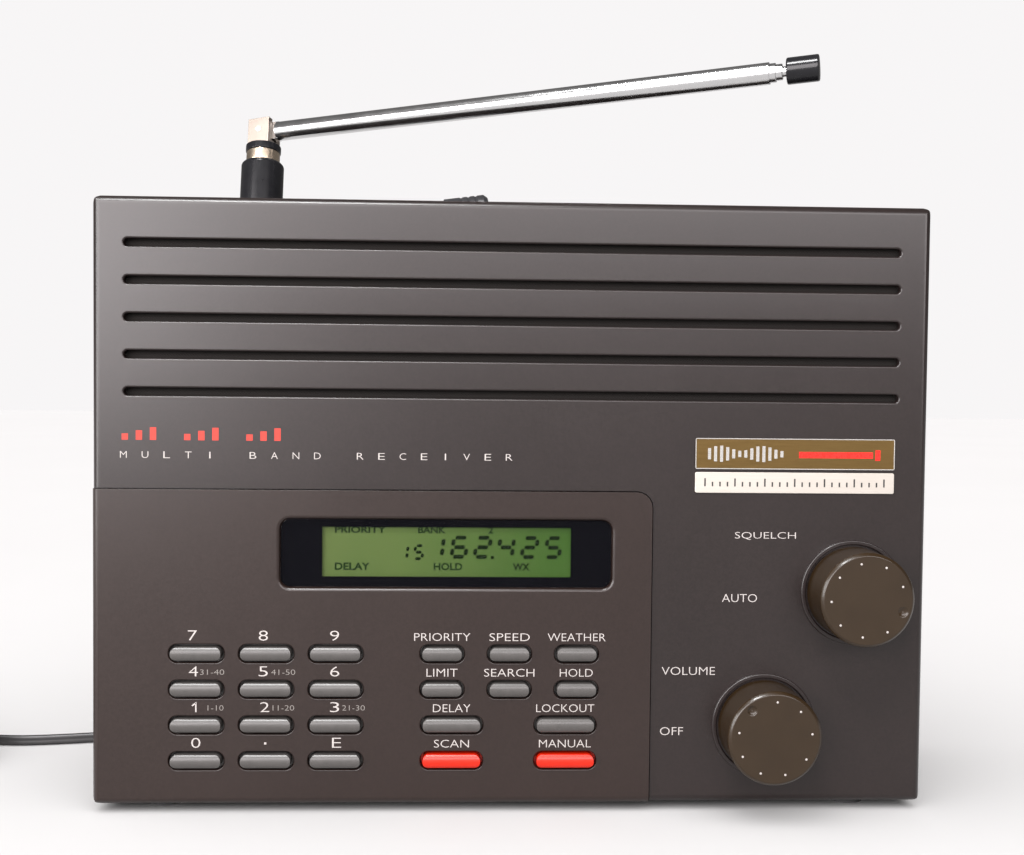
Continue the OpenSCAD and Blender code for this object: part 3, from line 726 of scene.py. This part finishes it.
def segment_digit(character, across, down, width, height, stroke):
    """One slanted seven-segment character with its upper left corner at a place."""
    bars = {"a": (0.5, 0, True), "b": (1, 0.25, False), "c": (1, 0.75, False), "d": (0.5, 1, True),
        "e": (0, 0.75, False), "f": (0, 0.25, False), "g": (0.5, 0.5, True)}
    made = []
    for name in lit_segments[character]:
        right, low, lies = bars[name]
        bar = bmesh.new()
        bmesh.ops.create_grid(bar, x_segments=1, y_segments=1, size=0.5)
        length = (width if lies else height / 2) - 0.8 * stroke
        bmesh.ops.bevel(bar, geom=bar.verts[:], offset=0.35 * stroke / length, affect="VERTICES",
            segments=1, profile=0.5, material=-1)
        bar.transform(Matrix.Diagonal((length, stroke, 1, 1) if lies else (stroke, length, 1, 1)))
        bar.transform(Matrix.Translation((right * width, (1 - low) * height, 0)))
        made.append(bar)
    digit = joined(*made)
    for vert in digit.verts:
        vert.co.x += slant * vert.co.y
    return placed(digit, Matrix.Translation((across, -down - height, 0)))


def stood_on_face(mesh, y, thickness=0.02):
    """Stands a flat drawing in millimetres on the face (x from the left side, -y from the top)."""
    made = bmesh.ops.extrude_face_region(mesh, geom=mesh.faces[:])["geom"]
    bmesh.ops.translate(mesh, verts=[item for item in made if isinstance(item, bmesh.types.BMVert)],
        vec=(0, 0, thickness))
    bmesh.ops.recalc_face_normals(mesh, faces=mesh.faces)
    return placed(mesh, Matrix.Translation((-half_width, y, case_top))
        @ Matrix.Rotation(math.radians(90), 4, "X") @ Matrix.Scale(mm, 4))


def flat_bar(across, down, width, height):
    """A flat upright rectangle round a middle, drawn in millimetres."""
    mesh = bmesh.new()
    bmesh.ops.create_grid(mesh, x_segments=1, y_segments=1, size=0.5,
        matrix=Matrix.Translation((across, -down, 0)) @ Matrix.Diagonal((width, height, 1, 1)))
    return mesh


def lettering(word, across, down, width, height, swell=-0.012):
    """A flat word that fills a width and height from its upper left corner on."""
    curve = bpy.data.curves.new(word, "FONT")
    curve.body = word
    curve.resolution_u = 3
    curve.offset = swell
    holder = bpy.data.objects.new(word, curve)
    bpy.context.scene.collection.objects.link(holder)
    bpy.context.view_layer.update()
    data = bpy.data.meshes.new_from_object(holder.evaluated_get(bpy.context.evaluated_depsgraph_get()))
    bpy.data.objects.remove(holder)
    mesh = bmesh.new()
    mesh.from_mesh(data)
    bpy.data.meshes.remove(data)
    xs = [vert.co.x for vert in mesh.verts]
    ys = [vert.co.y for vert in mesh.verts]
    mesh.transform(Matrix.Translation((across, -down - height, 0))
        @ Matrix.Diagonal((width / (max(xs) - min(xs)), height / (max(ys) - min(ys)), 1, 1))
        @ Matrix.Translation((-min(xs), -min(ys), 0)))
    return mesh


digits = [segment_digit(character, across, 107.45, 4.4, 6.15, 1.3) for character, across in
    (("1", 105.9), ("6", 113.5), ("2", 120.9), ("4", 128.4), ("2", 136.0), ("5", 143.6))]
digits += [segment_digit(character, across, 110.1, 2.5, 4.2, 0.95) for character, across in
    (("1", 96.6), ("5", 101.5))]
point = flat_bar(126.6, 113.8, 1, 1)
crystal_dark = ink_finish("crystal_dark", (0.006, 0.012, 0.004), shine=0)
weather = lettering("WX", 133.2, 115.6, 5.4, 2.4, 0.03)
segment_y = crystal_front - 0.27 * mm
digit_mesh = stood_on_face(joined(point, weather, *digits), segment_y)
fit(shown("lcd_digits", digit_mesh, crystal_dark), "case", "lcd")
settings = [lettering(*word, 0.03) for word in (("PRIORITY", 76.2, 103.9, 16.3, 2.2),
    ("BANK", 102.7, 103.9, 8.9, 2.2), ("2", 125.2, 103.9, 1.6, 2.2), ("DELAY", 76.2, 115.6, 11.2, 2.4),
    ("HOLD", 107.8, 115.6, 9.2, 2.4))]
crystal_faint = ink_finish("crystal_faint", (0.010, 0.022, 0.007), shine=0)
fit(shown("lcd_words", stood_on_face(joined(*settings), segment_y), crystal_faint), "case", "lcd")

# Keys: 22 moulded caps with a crowned ridge along their length, loose in their
# openings. The two long ones in the bottom row are orange, the others are warm grey.


def key_finish(name, shades):
    material, shader, place = new_finish(name, Specular_IOR_Level=0.3, Coat_Weight=0.1,
        Coat_Roughness=0.2)
    rub = place.noise(2.5 * mm, 3)
    place.tint(rub, *shades).feed(shader, "Base Color")
    (0.30 + rub * 0.14).feed(shader, "Roughness")
    place.bump(place.noise(0.4 * mm), 0.006 * mm).feed(shader, "Normal")
    return material


grey_key = key_finish("grey_key_plastic", ((0.036, 0.034, 0.032), (0.050, 0.046, 0.044)))
orange_key = key_finish("orange_key_plastic", ((0.330, 0.006, 0.000), (0.390, 0.009, 0.000)))
for body in sorted(frame["bodies"]):
    if body.startswith("key_"):
        orange = body in ("key_scan", "key_manual")
        fit(shown(body + "_cap", moulding(body, 0.5 * mm, 3), orange_key if orange else grey_key), body,
            "orange_keys" if orange else "grey_keys", body)

# Legends: pale grey control words and numbers, screen printed on the panel and the
# face. The number keys 1 to 5 also carry their channel banks.
row_down = [144.4 + 11.45 * row for row in range(4)]


def numeral_one(across, down, height):
    """A plain numeral 1: an upright stroke with a short flag."""
    flag = flat_bar(0, 0, 1.5, 0.42)
    return joined(flat_bar(across + 0.5, down + height / 2, 0.42, height),
        placed(flag, Matrix.Translation((across - 0.1, -down - 0.75, 0))
            @ Matrix.Rotation(math.radians(38), 4, "Z")))


numbers = []
for row, places in enumerate(((("7", 31.8), ("8", 54.1), ("9", 76.6)),
        (("4", 32.1), ("5", 54.1), ("6", 76.7)),
        (("2", 54.6), ("3", 76.7)), (("0", 32.9), ("E", 77.4)))):
    numbers += [lettering(word, place - 1.45, row_down[row] - 7.4, 2.9, 3.2) for word, place in places]
numbers.append(numeral_one(32.4, row_down[2] - 7.4, 3.2))
numbers.append(flat_bar(54.8, row_down[3] - 5.6, 0.7, 0.7))
ranges = [lettering(word, place + start, row_down[row] - 6.4, wide, 1.7)
    for word, place, row, start, wide in (("31-40", 33, 1, 1.2, 7.6), ("41-50", 55, 1, 1.6, 7.6),
    ("1-10", 33, 2, 3.6, 5.0), ("11-20", 55, 2, 2.1, 6.8), ("21-30", 77, 2, 2.1, 7.2))]
panel_words = []
for word, place, row, wide in (("PRIORITY", 110.8, 0, 17.9), ("SPEED", 132.3, 0, 12.9),
        ("WEATHER", 153.8, 0, 18.6), ("LIMIT", 110.8, 1, 9.9), ("SEARCH", 132.3, 1, 16.1),
        ("HOLD", 153.8, 1, 10.6), ("DELAY", 114.0, 2, 12.0), ("LOCKOUT", 150.4, 2, 18.7),
        ("SCAN", 114.0, 3, 11.2), ("MANUAL", 150.4, 3, 16.7)):
    panel_words.append(lettering(word, place - wide / 2, row_down[row] - 6.7, wide, 2.5))
pale_ink = ink_finish("pale_ink", (0.26, 0.24, 0.228))
dim_ink = ink_finish("dim_ink", (0.12, 0.11, 0.10))
fit(shown("panel_legends", stood_on_face(joined(*numbers, *panel_words), panel_front), pale_ink),
    "case", "silver_plate")
fit(shown("channel_ranges", stood_on_face(joined(*ranges), panel_front), dim_ink), "case", "silver_plate")
face_words = [lettering(*word) for word in (("SQUELCH", 204.6, 104.9, 19.8, 2.5),
    ("AUTO", 200.7, 125.0, 11.4, 2.6), ("VOLUME", 181.5, 148.7, 17.3, 2.6),
    ("OFF", 181.2, 168.3, 7.5, 2.6))]
strapline = "MULTI BAND RECEIVER"
letter_size = 2.1
strapline_start = 8.9
letter_pitch = (137.3 - strapline_start) / len(strapline)
for place, letter in enumerate(strapline):
    if letter != " ":
        wide = 0.4 if letter == "I" else letter_size
        start = strapline_start + letter_pitch * place + (letter_size - wide) / 2
        face_words.append(lettering(letter, start, 80.4, wide, letter_size))
fit(shown("face_legends", stood_on_face(joined(*face_words), face_y), pale_ink), "case", "silver_plate")

# Signal mark: three groups of three short orange bars of rising height, printed over
# the strapline.
bars = []
for group in range(3):
    for bar in range(3):
        tall = 2.0 + bar
        bars.append(flat_bar(10.4 + 19.5 * group + 4.4 * bar, 76.8 - tall / 2, 2.0, tall))
orange_ink = ink_finish("orange_ink", (0.26, 0.012, 0.004))
fit(shown("signal_mark", stood_on_face(joined(*bars), face_y), orange_ink), "case", "orange_keys")

# Knobs: two moulded bronze-brown knobs with a bevelled rim, a finger dimple and eight
# pale dots round the face.
dot_ring = 11.6
knob_centres = {"volume": (214.8, 167.6), "squelch": (243.1, 124.2)}
dot_angles = {"volume": (8, 48, 88, 170, 208, 247, 286, 327),
    "squelch": (22, 62, 102, 142, 182, 222, 262, 302)}


def knob_finish():
    material, shader, place = new_finish("knob_bronze_plastic", Specular_IOR_Level=0.25, Coat_Weight=0.25,
        Coat_Roughness=0.15)
    cloud = place.noise(9 * mm, 3)
    place.tint(cloud, (0.010, 0.0048, 0.0008), (0.015, 0.0075, 0.0016)).feed(shader, "Base Color")
    (0.32 + cloud * 0.1).feed(shader, "Roughness")
    place.bump(place.noise(0.35 * mm), 0.006 * mm).feed(shader, "Normal")
    return material


knob_bronze = knob_finish()
for knob, centre in knob_centres.items():
    body = knob + "_knob"
    fit(shown(body + "_cap", moulding(body, 0.5 * mm, 3), knob_bronze), body, "knob_plastic", body)
    dots = []
    for angle in dot_angles[knob]:
        dot = soften(lathe([(0, -0.1), (0.36, -0.1), (0.36, 0.08), (0, 0.08)], 16), 0.05 * mm, 2)
        turn = math.radians(angle)
        spot = face_point(centre[0] + dot_ring * math.cos(turn), centre[1] - dot_ring * math.sin(turn),
            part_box(body)[0].y)
        dots.append(placed(dot, Matrix.Translation(spot) @ Matrix.Rotation(math.radians(90), 4, "X")))
    fit(shown(knob + "_dots", joined(*dots), pale_ink), body, "silver_plate")

# Name plates: a bronze plate with a polished rim, and a silver strip under it. The
# plate carries a row of silver strokes that swell like a wave and a red bar, and the
# strip a row of ticks.


def plate_finish(name, shades, roughness):
    material, shader, place = new_finish(name, Metallic=0.85)
    brushed = place.node("Mapping", {}, {"Vector": place, "Scale": (1, 1, 30)}).noise(9 * mm, 5)
    place.tint(brushed, *shades).feed(shader, "Base Color")
    (roughness + brushed * 0.12).feed(shader, "Roughness")
    return material


bronze = plate_finish("bronze_plate", ((0.095, 0.058, 0.018), (0.135, 0.084, 0.028)), 0.28)
silver = plate_finish("silver_plate", ((0.38, 0.35, 0.315), (0.44, 0.41, 0.37)), 0.42)
bright_silver = plate_finish("bright_silver", ((0.48, 0.46, 0.43), (0.58, 0.56, 0.53)), 0.18)
fit(shown("bronze_badge", moulding("badge_plate", 0.15 * mm), bronze), "case", "bronze_plate",
    "badge_plate")
fit(shown("silver_badge", moulding("badge_strip", 0.15 * mm), silver), "case", "silver_plate",
    "badge_strip")
plate_low, plate_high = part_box("badge_plate")
strip_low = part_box("badge_strip")[0]


def frame_of(low, high, rim, front, thickness):
    """A thin raised rim round a plate."""
    inner = (low + Vector((rim, 0, rim)), high - Vector((rim, 0, rim)))
    return rounded_plate(low, high, 0.5 * mm, front, thickness, inner)


plate_rim = frame_of(plate_low, plate_high, 0.28 * mm, plate_low.y - 0.12 * mm, 0.2 * mm)
strokes = [flat_bar(195.8 + 1.95 * stroke, 79.7, 1.0, 3.6 + 1.6 * math.sin(0.9 * stroke))
    for stroke in range(13)]
wave = stood_on_face(joined(*strokes), plate_low.y, 0.12)
fit(shown("badge_mark", joined(plate_rim, wave), bright_silver), "case", "silver_plate")
red_enamel = ink_finish("red_enamel", (0.44, 0.010, 0.006), 0.1, 0.2)
red_bars = joined(flat_bar(236.8, 79.9, 24, 2.0), flat_bar(250.4, 79.9, 1.6, 3.4))
fit(shown("badge_bar", stood_on_face(red_bars, plate_low.y, 0.1), red_enamel), "case", "orange_keys")
ticks = []
for tick in range(25):
    tall = 2.6 if tick % 4 == 0 else 1.5
    ticks.append(flat_bar(194.5 + 2.42 * tick, 90.2 - tall / 2, 0.5, tall))
black_ink = ink_finish("black_ink", (0.012, 0.011, 0.011))
fit(shown("strip_ticks", stood_on_face(joined(*ticks), strip_low.y), black_ink), "case", "black_plastic")

# Antenna: a black moulded base on the sloping top, a pale brass collar and a black
# washer, then the satin nickel knuckle that turns and folds, and three chromed tubes
# with rolled ends that slide in each other, with a thin rod and a black cap.


def metal_finish(name, shades, roughness):
    material, shader, place = new_finish(name, Metallic=1.0)
    smear = place.noise(6 * mm, 4)
    place.tint(smear, *shades).feed(shader, "Base Color")
    (roughness + smear * 0.08).feed(shader, "Roughness")
    return material


def gloss_black_finish():
    material, shader, place = new_finish("gloss_black_plastic", Specular_IOR_Level=0.22)
    cloud = place.noise(4 * mm, 3)
    place.tint(cloud, (0.004, 0.004, 0.005), (0.009, 0.009, 0.010)).feed(shader, "Base Color")
    (0.16 + cloud * 0.08).feed(shader, "Roughness")
    return material


gloss_black = gloss_black_finish()
chrome = metal_finish("antenna_chrome", ((0.50, 0.50, 0.505), (0.58, 0.58, 0.58)), 0.15)
nickel = metal_finish("satin_nickel", ((0.30, 0.255, 0.22), (0.36, 0.31, 0.27)), 0.36)
brass = metal_finish("pale_brass", ((0.62, 0.50, 0.38), (0.74, 0.62, 0.49)), 0.2)
for node, body, material, slot, radius in (
        ("antenna_boot", "case", gloss_black, "black_plastic", 0.5),
        ("antenna_collar", "case", brass, "brass", 0.3),
        ("antenna_washer", "case", gloss_black, "black_plastic", 0.3),
        ("antenna_knuckle", "antenna_swivel", nickel, "nickel", 0.4),
        ("antenna_tube_1", "antenna_outer", chrome, "chrome", 0.18),
        ("antenna_tube_2", "antenna_second", chrome, "chrome", 0.18),
        ("antenna_tube_3", "antenna_third", chrome, "chrome", 0.18),
        ("antenna_rod", "antenna_inner", chrome, "chrome", 0.3),
        ("antenna_cap", "antenna_inner", gloss_black, "black_plastic", 0.5)):
    fit(shown(node + "_finished", moulding(node, radius * mm, 3), material), body, slot, node)

# Sockets, screws and feet, and what the case holds: the loudspeaker, the key mat, the
# two boards and the two controls.


def rubber_finish():
    material, shader, place = new_finish("foot_rubber", Specular_IOR_Level=0.3)
    cloud = place.noise(2 * mm, 4)
    place.tint(cloud, (0.016, 0.016, 0.017), (0.030, 0.030, 0.031)).feed(shader, "Base Color")
    (0.65 + cloud * 0.2).feed(shader, "Roughness")
    return material


def board_finish():
    """Green solder mask over a grid of tracks."""
    material, shader, place = new_finish("circuit_board", Specular_IOR_Level=0.5)
    across, _, up = place.axes()
    tracks = place.maths("FRACT", across * (1 / (2.5 * mm))) > 0.72
    cloud = place.noise(8 * mm, 3) > 0.5
    place.tint(tracks * cloud, (0.010, 0.060, 0.022), (0.030, 0.130, 0.045)).feed(shader, "Base Color")
    (0.35 + cloud * 0.1).feed(shader, "Roughness")
    return material


def paper_finish():
    material, shader, place = new_finish("cone_paper", Specular_IOR_Level=0.2)
    pulp = place.noise(1.2 * mm, 5)
    place.tint(pulp, (0.020, 0.019, 0.018), (0.040, 0.037, 0.034)).feed(shader, "Base Color")
    (0.8 + pulp * 0.15).feed(shader, "Roughness")
    place.bump(pulp, 0.05 * mm).feed(shader, "Normal")
    return material


rubber = rubber_finish()
dress(rubber, "rubber_feet", "key_mat")
dress(board_finish(), "keypad_board", "main_board")
dress(paper_finish(), "speaker_cone")
dress(steel, "speaker_frame", "case_screws", "volume_control", "squelch_control", "volume_shaft",
    "squelch_shaft", "knuckle_pin", "antenna_socket")
dress(black_plastic, "speaker_jack", "dc_socket", "lcd_glass")
